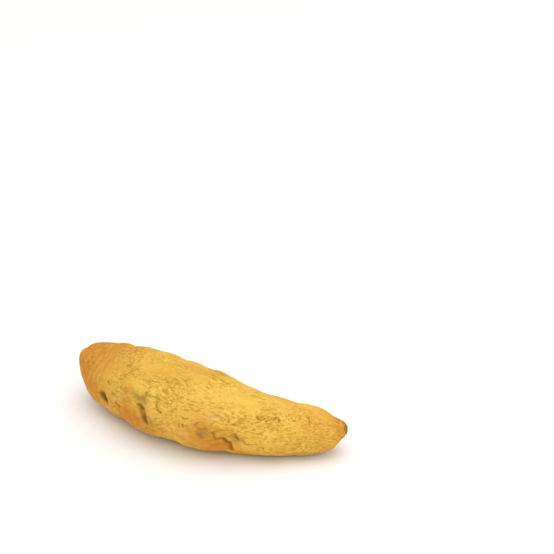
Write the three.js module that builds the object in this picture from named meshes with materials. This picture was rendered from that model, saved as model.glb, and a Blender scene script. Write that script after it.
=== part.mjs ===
// A dried finger of turmeric root: one solid piece, lying on a table.
// Millimetres, +Z up. The origin is the middle of the footprint on the table, and the long axis runs along X.
// The thick blunt growing tip is at -X. The narrow end, where the finger was snapped off its mother root, is at +X.

import * as THREE from "three";

// Driving dimensions: the middle line, bowed sideways and lifted at the growing tip, and the half thickness at
// each of its points.
const MIDDLE_LINE = [
  [-36.7, 11.1, 10.8],
  [-26.2, 8.4, 7.8],
  [-14.5, 3.1, 9.0],
  [-3.5, 0.7, 8.7],
  [7.0, 1.2, 7.4],
  [17.5, 4.3, 5.7],
  [28.6, 8.2, 6.0],
];
const HALF_THICKNESS = [6.8, 7.9, 9.0, 9.0, 7.4, 5.9, 3.3];
const HEIGHT_TO_WIDTH = 0.97;
const GROWING_TIP = { length: 11.8, power: 1.87 };
const SNAPPED_END = { length: 6.5, power: 1.85, inset: 0.8, lean: 14 };
const RESTING_SPOT_DEPTH = 0.3;

// Mesh fineness: rings over each end, rings along the body, and points round each ring.
const TIP_RINGS = 14;
const BODY_RINGS = 52;
const END_RINGS = 11;
const POINTS_ROUND = 60;

// How far the cross-section leaves a plain oval: share of the half thickness, lobes, and turn in degrees.
const LOBES = [
  { share: 0.022, count: 2, turn: 40 },
  { share: 0.018, count: 3, turn: 110 },
];

// Low waves all over the skin: height, and length along and turns round the finger.
const WAVES = [
  { height: 0.12, length: 17, round: 2, phase: 0.4 },
  { height: 0.1, length: 11, round: -3, phase: 2.1 },
  { height: 0.08, length: 7.5, round: 4, phase: 4.0 },
];

// Places on the skin are a distance from the growing tip along the middle line, and degrees round it: 0 is the
// front, 90 the top, 180 the back and 270 the underside.

// Faint growth rings: place, depth, slant across the finger, and the side they are deepest on.
const RING_HALF_WIDTH = 0.8;
const GROWTH_RINGS = [
  { at: 6.5, depth: 0.18, slant: 0.9, side: 200 },
  { at: 13.5, depth: 0.2, slant: -1.1, side: 220 },
  { at: 20.0, depth: 0.2, slant: 1.3, side: 240 },
  { at: 29.0, depth: 0.28, slant: -0.8, side: 190 },
  { at: 36.5, depth: 0.3, slant: 1.0, side: 230 },
  { at: 44.0, depth: 0.26, slant: -0.9, side: 230 },
  { at: 50.5, depth: 0.28, slant: 0.8, side: 250 },
  { at: 57.5, depth: 0.18, slant: -0.6, side: 220 },
];

// Swellings, and hollows with a minus height: place, height, and half length along and across the finger.
const SWELLINGS = [
  { at: 26, round: 195, height: 0.6, along: 6, across: 5 },
  { at: 35, round: 250, height: 0.4, along: 6, across: 6 },
  { at: 49, round: 200, height: 0.5, along: 4, across: 4 },
  { at: 14, round: 170, height: -0.5, along: 5, across: 4 },
  { at: 18.4, round: 338, height: -0.8, along: 2, across: 4 },
  { at: 24.8, round: 322, height: 0.25, along: 2.5, across: 4 },
  { at: 32, round: 318, height: -0.35, along: 2.5, across: 4 },
  { at: 35.7, round: 320, height: 0.25, along: 1.8, across: 3 },
  { at: 39, round: 325, height: -0.25, along: 1.8, across: 4 },
  { at: 65, round: 319, height: 0.75, along: 2.4, across: 3 },
  { at: 66.5, round: 10, height: -0.25, along: 2, across: 3 },
  { at: 6, round: 335, height: -0.4, along: 3, across: 4 },
  { at: 50.5, round: 324, height: 0.25, along: 1.6, across: 4 },
  { at: 11.2, round: 96, height: -0.5, along: 2.2, across: 5 },
  { at: 18.2, round: 103, height: 0.5, along: 3.6, across: 5 },
  { at: 14.8, round: 103, height: 0.3, along: 1.3, across: 4 },
  { at: 33, round: 103, height: -0.22, along: 1.6, across: 4 },
  { at: 37.4, round: 113, height: 0.5, along: 2.1, across: 5 },
  { at: 46, round: 100, height: -0.25, along: 2.5, across: 4 },
  { at: 51, round: 100, height: 0.15, along: 1.5, across: 4 },
  { at: 56, round: 114, height: -0.25, along: 2, across: 4 },
  { at: 59.3, round: 112, height: 0.25, along: 2, across: 4 },
  { at: 66, round: 112, height: -0.6, along: 3, across: 4 },
];

// Where side shoots broke away: a sunken floor inside a raised rim. The rim is highest on one side, given in
// degrees from the finger's direction.
const SHOOT_SCARS = [
  { at: 43.6, round: 345, along: 4.0, across: 3.7, turn: -12, depth: 1.0, rim: 0.3, rimSide: 80 },
  { at: 38.6, round: 358, along: 3.3, across: 3.4, turn: 10, depth: 0.4, rim: 0.25, rimSide: 150 },
  { at: 28, round: 172, along: 3.4, across: 3.0, turn: 20, depth: 0.6, rim: 0.45, rimSide: 0 },
  { at: 53, round: 225, along: 2.5, across: 2.2, turn: 0, depth: 0.5, rim: 0.4, rimSide: 200 },
];
const RIM_PLACE = 1.12;
const RIM_WIDTH = 0.22;
const WALL_START = 0.65;

// Pits and gouges where thin rootlets came out: place, half length along and across, turn and depth.
const PITS = [
  { at: 14.8, round: 354, along: 0.8, across: 1.6, turn: 20, depth: 1.0 },
  { at: 27.3, round: 4, along: 0.9, across: 3.4, turn: 15, depth: 0.8 },
  { at: 39.7, round: 351, along: 1.0, across: 1.4, turn: 0, depth: 0.6 },
  { at: 45.2, round: 336, along: 0.8, across: 2.2, turn: -30, depth: 0.5 },
  { at: 20, round: 205, along: 1.1, across: 1.5, turn: 0, depth: 0.8 },
  { at: 45, round: 150, along: 1.2, across: 1.2, turn: 0, depth: 0.7 },
];
const BUD_SCAR = { width: 1.4, depth: 0.6 };

const UP = new THREE.Vector3(0, 0, 1);
const linePoints = MIDDLE_LINE.map((p) => new THREE.Vector3(...p));
const middle = new THREE.CatmullRomCurve3(linePoints, false, "catmullrom");
middle.arcLengthDivisions = 600;
const LENGTH = middle.getLength();

// The half thickness runs smoothly through its values, as the middle line does through its points.
const thicknessPoints = HALF_THICKNESS.map((r) => new THREE.Vector3(r, 0, 0));
const thickness = new THREE.CatmullRomCurve3(thicknessPoints, false, "catmullrom");

const radians = THREE.MathUtils.degToRad;

// The finger at a distance from the growing tip: centre, direction, front, top and half thickness.
function sectionAt(distance) {
  const share = distance / LENGTH;
  const along = middle.getTangentAt(share);
  const front = new THREE.Vector3().crossVectors(along, UP).normalize();
  const top = new THREE.Vector3().crossVectors(front, along);
  const half = thickness.getPoint(middle.getUtoTmapping(share)).x;
  return { centre: middle.getPointAt(share), along, front, top, half };
}

// A point of the plain body, before its relief. The shrink is 1 along the body and falls to 0 over each end.
function bodyPoint(section, angle, shrink) {
  const lobes = LOBES.reduce((sum, l) => sum + l.share * Math.cos(l.count * angle + radians(l.turn)), 1);
  const reach = section.half * shrink * lobes;
  return section.centre.clone()
    .addScaledVector(section.front, reach * Math.cos(angle))
    .addScaledVector(section.top, reach * HEIGHT_TO_WIDTH * Math.sin(angle));
}

// The rings of a rounded end, a superellipse, from its pole outwards: distance from the pole, and shrink.
function endRings({ length, power }, count) {
  return Array.from({ length: count }, (_, i) => {
    const turn = (Math.PI / 2) * ((i + 1) / count);
    const distance = length * (1 - Math.max(Math.cos(turn), 0) ** (2 / power));
    return { distance, shrink: Math.sin(turn) ** (2 / power) };
  });
}

// All the rings, from the growing tip to the snapped end.
function ringList() {
  const rings = endRings(GROWING_TIP, TIP_RINGS);
  const bodyLength = LENGTH - GROWING_TIP.length - SNAPPED_END.length;
  for (let i = 1; i <= BODY_RINGS; i++)
    rings.push({ distance: GROWING_TIP.length + (bodyLength * i) / (BODY_RINGS + 1), shrink: 1 });
  for (const ring of endRings(SNAPPED_END, END_RINGS).reverse())
    rings.push({ distance: LENGTH - ring.distance, shrink: ring.shrink });
  return rings;
}

// A patch of the skin: its middle, and the directions along, across and out of it, turned in its own plane.
function patchAt({ at, round, turn = 0 }) {
  const section = sectionAt(at);
  const angle = radians(round);
  const centre = bodyPoint(section, angle, 1);
  const out = section.front.clone().multiplyScalar(Math.cos(angle));
  out.addScaledVector(section.top, Math.sin(angle));
  const along = section.along.clone().applyAxisAngle(out, radians(turn));
  return { centre, out, along, across: new THREE.Vector3().crossVectors(out, along) };
}

// Where a point is on a patch: its reach from the middle, in half lengths and half widths, and its direction.
// Depth below the patch counts as width, so that a mark stays on its own side of the finger.
function placeOn(patch, shape, point) {
  const offset = point.clone().sub(patch.centre);
  const along = offset.dot(patch.along) / shape.along;
  const across = offset.dot(patch.across) / shape.across;
  const below = offset.dot(patch.out) / shape.across;
  return { reach: Math.hypot(along, across, below), direction: Math.atan2(across, along) };
}

// A patch at an end of the finger, facing out along the middle line.
function endPatch(distance, sense) {
  const section = sectionAt(distance);
  const out = section.along.clone().multiplyScalar(sense);
  return { centre: section.centre, out, along: section.top, across: section.front };
}

const bell = (x) => Math.exp(-x * x);
const withPatch = (shape) => ({ shape, patch: patchAt(shape) });
const swellings = SWELLINGS.map(withPatch);
const scars = SHOOT_SCARS.map(withPatch);
const pits = PITS.map(withPatch);
pits.push({
  shape: { along: BUD_SCAR.width, across: BUD_SCAR.width, depth: BUD_SCAR.depth },
  patch: endPatch(0, -1),
});

// The plane of the snapped face, leaning a little off the middle line.
const snapped = endPatch(LENGTH, 1);
const faceNormal = snapped.out.clone().applyAxisAngle(snapped.along, radians(SNAPPED_END.lean));
const facePoint = snapped.centre.clone().addScaledVector(snapped.out, -SNAPPED_END.inset);

// The height of the relief over the plain body.
function relief(point, distance, angle) {
  let height = 0;
  for (const wave of WAVES) {
    const turns = distance / wave.length;
    height += wave.height * Math.sin(2 * Math.PI * turns + wave.round * angle + wave.phase);
  }
  for (const ring of GROWTH_RINGS) {
    const facing = Math.cos(angle - radians(ring.side));
    const away = distance - ring.at - ring.slant * facing - 0.3 * Math.sin(3 * angle + ring.at);
    height -= ring.depth * (0.6 + 0.4 * facing) * bell(away / RING_HALF_WIDTH);
  }
  for (const { shape, patch } of swellings) height += shape.height * bell(placeOn(patch, shape, point).reach);
  for (const { shape, patch } of scars) {
    const { reach, direction } = placeOn(patch, shape, point);
    const ragged = reach * (1 + 0.1 * Math.sin(3 * direction + shape.at) + 0.06 * Math.sin(7 * direction));
    const rimShare = 0.6 + 0.4 * Math.cos(direction - radians(shape.rimSide));
    height -= shape.depth * (1 - THREE.MathUtils.smoothstep(ragged, WALL_START, 1));
    height += shape.rim * rimShare * bell((ragged - RIM_PLACE) / RIM_WIDTH);
  }
  for (const { shape, patch } of pits) height -= shape.depth * bell(placeOn(patch, shape, point).reach);
  return height;
}

// One closed skin: a pole at each end and rings between them.
function fingerGeometry() {
  const points = [sectionAt(0).centre];
  const places = [{ distance: 0, angle: 0 }];
  for (const ring of ringList()) {
    const section = sectionAt(ring.distance);
    for (let j = 0; j < POINTS_ROUND; j++) {
      const angle = (2 * Math.PI * j) / POINTS_ROUND;
      points.push(bodyPoint(section, angle, ring.shrink));
      places.push({ distance: ring.distance, angle });
    }
  }
  points.push(sectionAt(LENGTH).centre);
  places.push({ distance: LENGTH, angle: 0 });

  const lastPole = points.length - 1;
  const ringCount = (lastPole - 1) / POINTS_ROUND;
  const at = (i, j) => 1 + i * POINTS_ROUND + (j % POINTS_ROUND);
  const faces = [];
  for (let j = 0; j < POINTS_ROUND; j++) {
    faces.push(0, at(0, j), at(0, j + 1));
    for (let i = 0; i < ringCount - 1; i++) {
      faces.push(at(i, j), at(i + 1, j), at(i + 1, j + 1));
      faces.push(at(i, j), at(i + 1, j + 1), at(i, j + 1));
    }
    faces.push(lastPole, at(ringCount - 1, j + 1), at(ringCount - 1, j));
  }

  const geometry = new THREE.BufferGeometry().setFromPoints(points).setIndex(faces);
  geometry.computeVertexNormals();
  const normals = geometry.getAttribute("normal");
  const raised = points.map((p, i) => {
    const normal = new THREE.Vector3().fromBufferAttribute(normals, i);
    const skin = p.clone().addScaledVector(normal, relief(p, places[i].distance, places[i].angle));
    const beyond = Math.max(skin.clone().sub(facePoint).dot(faceNormal), 0);
    return skin.addScaledVector(faceNormal, -beyond);
  });

  // The lowest of the underside is flat, where the finger rests, and the footprint is centred on the origin.
  const box = new THREE.Box3().setFromPoints(raised);
  const table = box.min.z + RESTING_SPOT_DEPTH;
  const centre = box.getCenter(new THREE.Vector3());
  for (const p of raised) p.set(p.x - centre.x, p.y - centre.y, Math.max(p.z, table) - table);
  geometry.setFromPoints(raised);
  geometry.computeVertexNormals();
  return geometry;
}

const driedRind = new THREE.MeshStandardMaterial({ color: 0xd9a441, roughness: 0.88, metalness: 0 });
const finger = new THREE.Mesh(fingerGeometry(), driedRind);
finger.name = "turmeric_root";

const root = new THREE.Group();
root.add(finger);
export default root;
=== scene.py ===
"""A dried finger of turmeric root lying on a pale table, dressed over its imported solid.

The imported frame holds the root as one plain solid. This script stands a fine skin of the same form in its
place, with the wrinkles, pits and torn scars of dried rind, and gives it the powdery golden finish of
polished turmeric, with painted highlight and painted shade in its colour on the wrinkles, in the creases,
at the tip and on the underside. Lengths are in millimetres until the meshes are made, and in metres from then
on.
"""
from __future__ import annotations

import logging
import math
from collections.abc import Iterator, Sequence
from dataclasses import dataclass, replace
from enum import Enum

import bpy
import numpy as np
from mathutils import Matrix, Vector, noise

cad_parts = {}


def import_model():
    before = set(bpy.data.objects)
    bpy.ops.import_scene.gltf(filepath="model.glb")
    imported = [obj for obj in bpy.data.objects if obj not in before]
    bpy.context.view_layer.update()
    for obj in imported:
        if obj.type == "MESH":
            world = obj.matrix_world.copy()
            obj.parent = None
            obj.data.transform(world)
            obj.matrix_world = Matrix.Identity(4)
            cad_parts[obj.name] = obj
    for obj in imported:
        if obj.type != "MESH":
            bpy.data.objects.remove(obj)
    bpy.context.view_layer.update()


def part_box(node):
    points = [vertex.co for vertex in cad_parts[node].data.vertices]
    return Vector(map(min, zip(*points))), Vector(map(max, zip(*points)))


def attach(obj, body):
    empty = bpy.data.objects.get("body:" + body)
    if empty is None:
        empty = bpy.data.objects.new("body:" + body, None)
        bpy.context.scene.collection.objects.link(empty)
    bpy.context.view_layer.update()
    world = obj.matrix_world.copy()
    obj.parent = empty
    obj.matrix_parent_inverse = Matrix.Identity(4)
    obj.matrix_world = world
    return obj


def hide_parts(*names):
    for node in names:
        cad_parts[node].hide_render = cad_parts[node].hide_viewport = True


LOG = logging.getLogger("turmeric_root")
MM = 0.001
NODE = "turmeric_root"
Array = np.ndarray
Span = tuple[float, float]
# These keep the layers of noise apart, and give scattered points numbers of their own.
SEED_SHIFT = 17.31
ROUNDWISE_SEED_STEP = 0.4
POINT_SEED_SHIFT = 11.7
POINT_NUMBER_SCALE = 7.3


def linear(hex_colour: str) -> tuple[float, float, float, float]:
    """Turn an sRGB hex colour into linear RGBA.

    Args:
        hex_colour: six hex digits with a leading hash.

    Returns:
        The linear red, green and blue with an alpha of 1.
    """
    channels = [int(hex_colour[i : i + 2], 16) / 255 for i in (1, 3, 5)]
    red, green, blue = (c / 12.92 if c <= 0.04045 else ((c + 0.055) / 1.055) ** 2.4 for c in channels)
    return red, green, blue, 1.0


def bell(x: Array) -> Array:
    """A smooth bump of height 1 that falls away from 0."""
    return np.exp(-x * x)


def ramp(x: Array, low: float, high: float) -> Array:
    """Rise smoothly from 0 at low to 1 at high.

    Args:
        x: the values.
        low: where the rise starts.
        high: where it ends.

    Returns:
        The values' shares of the rise, from 0 to 1.
    """
    share = np.clip((x - low) / (high - low), 0.0, 1.0)
    return share * share * (3 - 2 * share)


def blend(ends: Span, share: Array) -> Array:
    """Values on the way from one end to the other, by their share of it."""
    return ends[0] + (ends[1] - ends[0]) * share


def unit(vectors: Array) -> Array:
    """Scale vectors to length 1."""
    return vectors / np.maximum(np.linalg.norm(vectors, axis=-1, keepdims=True), 1e-9)


def curve(values: Array, share: Array) -> Array:
    """Run a smooth curve through a row of values.

    Args:
        values: the values, one row each.
        share: where to read the curve, from 0 to 1.

    Returns:
        The curve's values there.
    """
    padded = np.vstack([2 * values[0] - values[1], values, 2 * values[-1] - values[-2]])
    place = share * (len(values) - 1)
    index = np.minimum(place.astype(int), len(values) - 2)
    w = (place - index)[..., None]
    before, start, end, after = (padded[index + k] for k in range(4))
    lead, trail = (end - before) / 2, (after - start) / 2
    cubic = (2 * start - 2 * end + lead + trail) * w**3
    return cubic + (3 * end - 3 * start - 2 * lead - trail) * w**2 + lead * w + start


@dataclass(frozen=True)
class Grain:
    """Smooth noise on the skin, with grains of this length along the finger and across it, in millimetres.

    Its seed sets it apart from the other layers of noise, and its swing is how strong it is.
    """

    along: float
    across: float
    seed: float
    swing: float = 1.0

    def scaled(self, places: Array, shift: float) -> Iterator[Vector]:
        """The places counted in grains, and moved away by the seed."""
        size = np.array([self.along, self.across, self.across])
        return map(Vector, (places.reshape(-1, 3) / size + self.seed * shift).tolist())

    def over(self, places: Array) -> Array:
        """The noise at places on the skin, from about -1 to 1 times the swing."""
        values = [noise.noise(place) for place in self.scaled(places, SEED_SHIFT)]
        return self.swing * np.array(values).reshape(places.shape[:-1])

    def shift(self, skin: Array) -> Array:
        """Shifts of the skin's points in three directions, drawn with this seed and the next two."""
        return np.stack([replace(self, seed=self.seed + i).over(skin) for i in range(3)], -1)

    def turned(self, places: Array, turning: Array) -> Array:
        """Noise whose grains run along the finger, and round it where they turn.

        Args:
            places: the unrolled places.
            turning: how far the grains turn, from 0 to 1.

        Returns:
            The noise at each place.
        """
        roundwise = replace(self, along=self.across, across=self.along, seed=self.seed + ROUNDWISE_SEED_STEP)
        return self.over(places) * (1 - turning) + roundwise.over(places) * turning

    def points(self, places: Array) -> tuple[Array, Array]:
        """Points scattered about a grain apart.

        Args:
            places: the unrolled places.

        Returns:
            How far the nearest point is, in grains, and that point's own number from 0 to 1.
        """
        near = []
        own = []
        for place in self.scaled(places, POINT_SEED_SHIFT):
            distances, points = noise.voronoi(place)
            near.append(distances[0])
            own.append(noise.cell(points[0] * POINT_NUMBER_SCALE))
        shape = places.shape[:-1]
        return np.array(near).reshape(shape), np.array(own).reshape(shape) % 1.0


@dataclass(frozen=True)
class Mark:
    """A place on the skin with its extent: a swelling, pit, scar, fold or patch of colour.

    It is at a distance from the growing tip along the middle line, and round the line by degrees: 0 is the
    front, 90 the top, 180 the back and 270 the underside. Its extent is half its length along the finger and
    half its width across it, and turn is how far it is twisted from the finger's line.
    """

    at: float
    round: float
    along: float
    across: float
    turn: float = 0.0
    height: float = 0.0
    rim: float = 0.0
    rim_side: float = 0.0
    ink: float = 0.0


class Tint(Enum):
    """What the rind's colour answers to. Each value names a layer that the skin carries for its finish."""

    GRAIN = "wrinkle_height"
    ROUGH = "rough_patch"
    # Dark in the creases, furrows, pores and scar walls: partly the cork's own brown, partly painted shade.
    DEEP = "deep_crease_shade"
    FLESH = "torn_flesh"
    # The grey of old hollows, and painted shade on the underside.
    ASH = "grey_hollow_and_underside_shade"
    # Orange of the rind, and painted shade over the tip and the lower front.
    BLUSH = "orange_blush_and_shade"
    FILM = "powder_film"
    PALE = "pale_rim"
    CORK = "snapped_cork"


class Speckle(Enum):
    """The fine noises that the finish draws by itself. Each value names the noise in the material."""

    STAINS = "broad_stains"
    DUST = "powder_dust"
    FIBRES = "rind_fibres"


@dataclass(frozen=True)
class Fleck:
    """A speckle's look: its grain across the finger in millimetres, its stretch along it, and its detail."""

    size: float
    stretch: float
    detail: float


@dataclass(frozen=True)
class Coat:
    """A colour laid over those below it, where a layer of the skin or a speckle is strong.

    Its share grows from nothing where the layer is at bare to the full share where the layer is at full.
    Another layer may thin it out again.
    """

    colour: str
    layer: Tint | Speckle
    bare: float
    full: float
    share: float
    thinned_by: Tint | None = None


@dataclass(frozen=True)
class Stroke:
    """A crease or a ridge on the skin, along a few points that are each a distance and degrees round."""

    path: tuple[tuple[float, float], ...]
    half_width: float
    height: float
    ink: float


@dataclass(frozen=True)
class GrowthRing:
    """A faint groove round the finger, where a leaf scale once sat."""

    at: float
    depth: float
    slant: float
    side: float


@dataclass(frozen=True)
class RoundedEnd:
    """An end of the finger: a superellipse of this length and power."""

    length: float
    power: float

    def rings(self, count: int) -> tuple[Array, Array]:
        """The end's rings from its pole outwards.

        Args:
            count: how many rings.

        Returns:
            Each ring's distance from the pole and its share of the full thickness.
        """
        turn = (math.pi / 2) * np.arange(1, count + 1) / count
        distance = self.length * (1 - np.maximum(np.cos(turn), 0.0) ** (2 / self.power))
        return distance, np.sin(turn) ** (2 / self.power)

    def share(self, distance: Array) -> Array:
        """The share of the full thickness at distances from the pole."""
        left = np.clip(1 - distance / self.length, 0.0, 1.0)
        return (1 - left**self.power) ** (1 / self.power)


@dataclass
class Sections:
    """Cross-sections of the finger: centres, directions, fronts, tops and half thicknesses."""

    centre: Array
    along: Array
    front: Array
    top: Array
    half: Array


@dataclass
class FingerForm:
    """The plain form of the finger: its bowed middle line and how thick it is along it."""

    points: tuple[tuple[float, float, float], ...] = (
        (-36.7, 11.1, 10.8),
        (-26.2, 8.4, 7.8),
        (-14.5, 3.1, 9.0),
        (-3.5, 0.7, 8.7),
        (7.0, 1.2, 7.4),
        (17.5, 4.3, 5.7),
        (28.6, 8.2, 6.0),
    )
    half_thickness: tuple[float, ...] = (6.8, 7.9, 9.0, 9.0, 7.4, 5.9, 3.3)
    height_to_width: float = 0.97
    lobes: tuple[tuple[float, int, float], ...] = ((0.022, 2, 40), (0.018, 3, 110))
    tip: RoundedEnd = RoundedEnd(11.8, 1.87)
    snapped: RoundedEnd = RoundedEnd(6.5, 1.85)
    snapped_inset: float = 0.8
    snapped_lean: float = 14
    resting_depth: float = 0.3

    def __post_init__(self) -> None:
        """Measure the middle line."""
        self._share = np.linspace(0.0, 1.0, 601)
        steps = np.diff(curve(np.array(self.points), self._share), axis=0)
        self._run = np.concatenate([[0.0], np.cumsum(np.linalg.norm(steps, axis=1))])
        self.length = float(self._run[-1])

    def sections(self, distance: Array) -> Sections:
        """Cut the finger at distances from the growing tip.

        Args:
            distance: the distances along the middle line.

        Returns:
            The cross-sections there.
        """
        points = np.array(self.points)
        share = np.interp(distance, self._run, self._share)
        step = 1e-4 * self.length
        low = np.interp(np.clip(distance - step, 0, self.length), self._run, self._share)
        high = np.interp(np.clip(distance + step, 0, self.length), self._run, self._share)
        along = unit(curve(points, high) - curve(points, low))
        front = unit(np.cross(along, [0.0, 0.0, 1.0]))
        half = curve(np.array(self.half_thickness)[:, None], share)[..., 0]
        return Sections(curve(points, share), along, front, np.cross(front, along), half)

    def skin(self, distance: Array, angle: Array, shrink: Array) -> Array:
        """Points of the plain skin.

        Args:
            distance: the distances from the growing tip.
            angle: the angles round the middle line, in radians.
            shrink: the shares of the full thickness, below 1 over the ends.

        Returns:
            The points.
        """
        cut = self.sections(distance)
        waves = (share * np.cos(count * angle + math.radians(turn)) for share, count, turn in self.lobes)
        reach = (cut.half * shrink * (1 + sum(waves)))[..., None]
        sideways = cut.front * np.cos(angle)[..., None]
        upward = cut.top * (self.height_to_width * np.sin(angle))[..., None]
        return cut.centre + reach * (sideways + upward)


class Patch:
    """A flat patch that touches the skin at a mark, to measure places near it."""

    def __init__(self, form: FingerForm, mark: Mark) -> None:
        """Lay the patch.

        Args:
            form: the finger's plain form.
            mark: the mark that the patch is for.
        """
        self.mark = mark
        distance, angle = np.array([mark.at]), np.array([math.radians(mark.round)])
        cut = form.sections(distance)
        self.centre = form.skin(distance, angle, np.ones(1))[0]
        self.out = cut.front[0] * math.cos(angle[0]) + cut.top[0] * math.sin(angle[0])
        turn = math.radians(mark.turn)
        sideways = np.cross(self.out, cut.along[0])
        upright = self.out * np.dot(self.out, cut.along[0]) * (1 - math.cos(turn))
        self.along = cut.along[0] * math.cos(turn) + sideways * math.sin(turn) + upright
        self.across = np.cross(self.out, self.along)

    @classmethod
    def at_tip(cls, form: FingerForm, mark: Mark) -> Patch:
        """Lay a patch on the growing tip, facing out along the middle line.

        Args:
            form: the finger's plain form.
            mark: the mark that the patch is for.

        Returns:
            The patch.
        """
        patch = cls(form, mark)
        cut = form.sections(np.zeros(1))
        patch.centre, patch.out = cut.centre[0], -cut.along[0]
        patch.along, patch.across = cut.top[0], cut.front[0]
        return patch

    def reach(self, points: Array) -> tuple[Array, Array]:
        """Measure points from the patch's middle, in the mark's half lengths and half widths.

        Depth below the patch counts as width, so that a mark stays on its own side of the finger.

        Args:
            points: the points.

        Returns:
            How far they are, 1 being the mark's edge, and their direction in radians.
        """
        offset = points - self.centre
        along = offset @ self.along / self.mark.along
        across = offset @ self.across / self.mark.across
        below = offset @ self.out / self.mark.across
        return np.sqrt(along**2 + across**2 + below**2), np.arctan2(across, along)

    def bump(self, points: Array) -> Array:
        """A smooth bump of height 1 over the mark."""
        return bell(self.reach(points)[0])


@dataclass
class Relief:
    """The larger relief of the finger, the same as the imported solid's."""

    form: FingerForm
    waves: tuple[tuple[float, float, int, float], ...] = (
        (0.12, 17, 2, 0.4),
        (0.1, 11, -3, 2.1),
        (0.08, 7.5, 4, 4.0),
    )
    ring_half_width: float = 0.8
    growth_rings: tuple[GrowthRing, ...] = (
        GrowthRing(6.5, 0.18, 0.9, 200),
        GrowthRing(13.5, 0.2, -1.1, 220),
        GrowthRing(20.0, 0.2, 1.3, 240),
        GrowthRing(29.0, 0.28, -0.8, 190),
        GrowthRing(36.5, 0.3, 1.0, 230),
        GrowthRing(44.0, 0.26, -0.9, 230),
        GrowthRing(50.5, 0.28, 0.8, 250),
        GrowthRing(57.5, 0.18, -0.6, 220),
    )
    swellings: tuple[Mark, ...] = (
        Mark(26, 195, 6, 5, height=0.6),
        Mark(35, 250, 6, 6, height=0.4),
        Mark(49, 200, 4, 4, height=0.5),
        Mark(14, 170, 5, 4, height=-0.5),
        Mark(18.4, 338, 2, 4, height=-0.8),
        Mark(24.8, 322, 2.5, 4, height=0.25),
        Mark(32, 318, 2.5, 4, height=-0.35),
        Mark(35.7, 320, 1.8, 3, height=0.25),
        Mark(39, 325, 1.8, 4, height=-0.25),
        Mark(65, 319, 2.4, 3, height=0.75),
        Mark(66.5, 10, 2, 3, height=-0.25),
        Mark(6, 335, 3, 4, height=-0.4),
        Mark(50.5, 324, 1.6, 4, height=0.25),
        Mark(11.2, 96, 2.2, 5, height=-0.5),
        Mark(18.2, 103, 3.6, 5, height=0.5),
        Mark(14.8, 103, 1.3, 4, height=0.3),
        Mark(33, 103, 1.6, 4, height=-0.22),
        Mark(37.4, 113, 2.1, 5, height=0.5),
        Mark(46, 100, 2.5, 4, height=-0.25),
        Mark(51, 100, 1.5, 4, height=0.15),
        Mark(56, 114, 2, 4, height=-0.25),
        Mark(59.3, 112, 2, 4, height=0.25),
        Mark(66, 112, 3, 4, height=-0.6),
    )
    scars: tuple[Mark, ...] = (
        Mark(43.6, 345, 4.0, 3.7, -12, height=-1.0, rim=0.3, rim_side=80),
        Mark(38.6, 358, 3.3, 3.4, 10, height=-0.4, rim=0.25, rim_side=150),
        Mark(28, 172, 3.4, 3.0, 20, height=-0.6, rim=0.45, rim_side=0),
        Mark(53, 225, 2.5, 2.2, 0, height=-0.5, rim=0.4, rim_side=200),
    )
    pits: tuple[Mark, ...] = (
        Mark(14.8, 354, 0.8, 1.6, 20, height=-1.0),
        Mark(27.3, 4, 0.9, 3.4, 15, height=-0.8),
        Mark(39.7, 351, 1.0, 1.4, 0, height=-0.6),
        Mark(45.2, 336, 0.8, 2.2, -30, height=-0.5),
        Mark(20, 205, 1.1, 1.5, 0, height=-0.8),
        Mark(45, 150, 1.2, 1.2, 0, height=-0.7),
    )
    bud: Mark = Mark(0.5, 0, 1.4, 1.4, height=-0.6)
    rim_place: float = 1.12
    rim_width: float = 0.22
    wall_start: float = 0.65

    def ragged(self, patch: Patch, points: Array) -> tuple[Array, Array]:
        """Measure points from a scar's middle, with the scar's uneven outline.

        Args:
            patch: the scar's patch.
            points: the points.

        Returns:
            The reach, 1 being the top of the scar's wall, and the direction in radians.
        """
        reach, direction = patch.reach(points)
        uneven = 1 + 0.1 * np.sin(3 * direction + patch.mark.at) + 0.06 * np.sin(7 * direction)
        return reach * uneven, direction

    def height(self, points: Array, distance: Array, angle: Array) -> Array:
        """The relief over the plain skin.

        Args:
            points: the points of the plain skin.
            distance: their distances from the growing tip.
            angle: their angles round the middle line, in radians.

        Returns:
            How far each point moves out along its normal.
        """
        total = np.zeros(distance.shape)
        for height, length, turns, phase in self.waves:
            total += height * np.sin(2 * math.pi * distance / length + turns * angle + phase)
        for ring in self.growth_rings:
            facing = np.cos(angle - math.radians(ring.side))
            away = distance - ring.at - ring.slant * facing - 0.3 * np.sin(3 * angle + ring.at)
            total -= ring.depth * (0.6 + 0.4 * facing) * bell(away / self.ring_half_width)
        for mark in self.swellings + self.pits:
            total += mark.height * Patch(self.form, mark).bump(points)
        for mark in self.scars:
            reach, direction = self.ragged(Patch(self.form, mark), points)
            rim_share = 0.6 + 0.4 * np.cos(direction - math.radians(mark.rim_side))
            total += mark.height * (1 - ramp(reach, self.wall_start, 1.0))
            total += mark.rim * rim_share * bell((reach - self.rim_place) / self.rim_width)
        total += self.bud.height * Patch.at_tip(self.form, self.bud).bump(points)
        return total


@dataclass(frozen=True)
class Wrinkle:
    """A kind of wrinkle: its grain, its height in millimetres, and its ink, how strongly it shades the skin.

    It has one strength on smooth rind and one on rough rind. Sides are the shares that are kept of what
    stands up and of what lies low.
    """

    grain: Grain
    height: float
    ink: float
    strengths: Span = (1.0, 1.0)
    sides: Span = (1.0, 1.0)


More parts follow.
